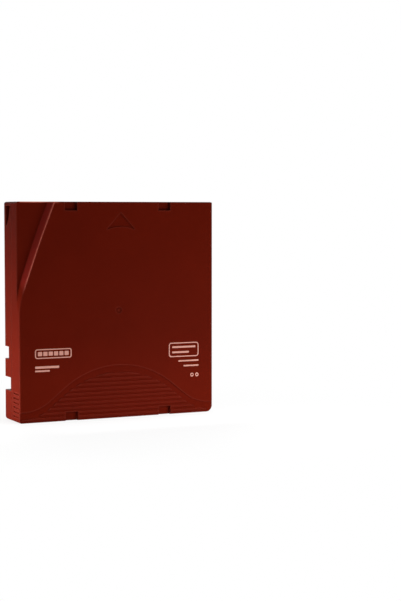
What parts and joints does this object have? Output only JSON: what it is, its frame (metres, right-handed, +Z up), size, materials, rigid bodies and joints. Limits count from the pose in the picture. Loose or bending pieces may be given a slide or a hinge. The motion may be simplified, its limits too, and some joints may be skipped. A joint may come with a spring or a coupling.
{
  "type": "data tape cartridge",
  "caption": "Dark red half-inch data tape cartridge with a ridged grip, a sliding access door and a locked reel.",
  "frame": {"origin": "centre of the rear (label) edge, on the surface that the cartridge stands on", "axes": "+Z up from the rear edge to the front edge that enters the drive, +Y out of the drive's side with the reel hub, -Y out of the large upper face, +X towards the access door"},
  "size_m": [0.102, 0.0216, 0.1054],
  "materials": {
    "shell_plastic": "satin moulded plastic, dark red",
    "screw_steel": "zinc-plated steel",
    "door_plastic": "dark grey moulded plastic",
    "spring_steel": "drawn spring wire",
    "switch_plastic": "pale grey moulded plastic",
    "reel_plastic": "off-white moulded plastic",
    "flange_plastic": "clear-grained moulded plastic",
    "plate_steel": "rolled steel sheet",
    "clip_plastic": "white moulded plastic",
    "tape_film": "smooth coated film",
    "pin_steel": "ground steel",
    "brake_plastic": "black moulded plastic",
    "board_laminate": "green lacquered laminate",
    "chip_plastic": "black epoxy",
    "copper_track": "bare copper"
  },
  "bodies": {
    "case": {"upper_shell": "shell_plastic", "lower_shell": "shell_plastic", "case_screws": "screw_steel", "door_spring": "spring_steel", "leader_tape": "tape_film", "leader_pin": "pin_steel", "leader_pin_clip": "clip_plastic", "leader_pin_springs": "spring_steel", "brake_spring": "spring_steel", "memory_board": "board_laminate", "memory_chip": "chip_plastic", "memory_antenna": "copper_track"},
    "door": {"slide_door": "door_plastic"},
    "write_protect_switch": {"write_protect_tab": "switch_plastic"},
    "reel": {"reel_hub": "reel_plastic", "reel_upper_flange": "flange_plastic", "reel_drive_plate": "plate_steel", "tape_end_clamp": "clip_plastic", "tape_pack": "tape_film"},
    "brake": {"brake_button": "brake_plastic"},
    "brake_release": {"brake_release_spider": "clip_plastic"}
  },
  "joints": [
    {"name": "door_slide", "type": "slide", "parent": "case", "child": "door", "axis": [0, 0, -1], "range_m": [0, 0.018], "stiffness_N_per_m": 40, "springref_m": -0.008, "deforming": ["door_spring"]},
    {"name": "write_protect_slide", "type": "slide", "parent": "case", "child": "write_protect_switch", "axis": [1, 0, 0], "range_m": [0, 0.0048]},
    {"name": "reel_spin", "type": "hinge", "parent": "case", "child": "reel", "pos_m": [0, 0, 0.0527], "axis": [0, 1, 0], "continuous": true},
    {"name": "brake_slide", "type": "slide", "parent": "case", "child": "brake", "axis": [0, -1, 0], "range_m": [0, 0.0016], "stiffness_N_per_m": 200, "springref_m": -0.004, "deforming": ["brake_spring"]},
    {"name": "brake_release_slide", "type": "slide", "parent": "reel", "child": "brake_release", "axis": [0, -1, 0], "range_m": [0, 0.0016]}
  ],
  "couplings": [
    {"joint": "brake_release_slide", "follows": "brake_slide", "ratio": 1}
  ]
}
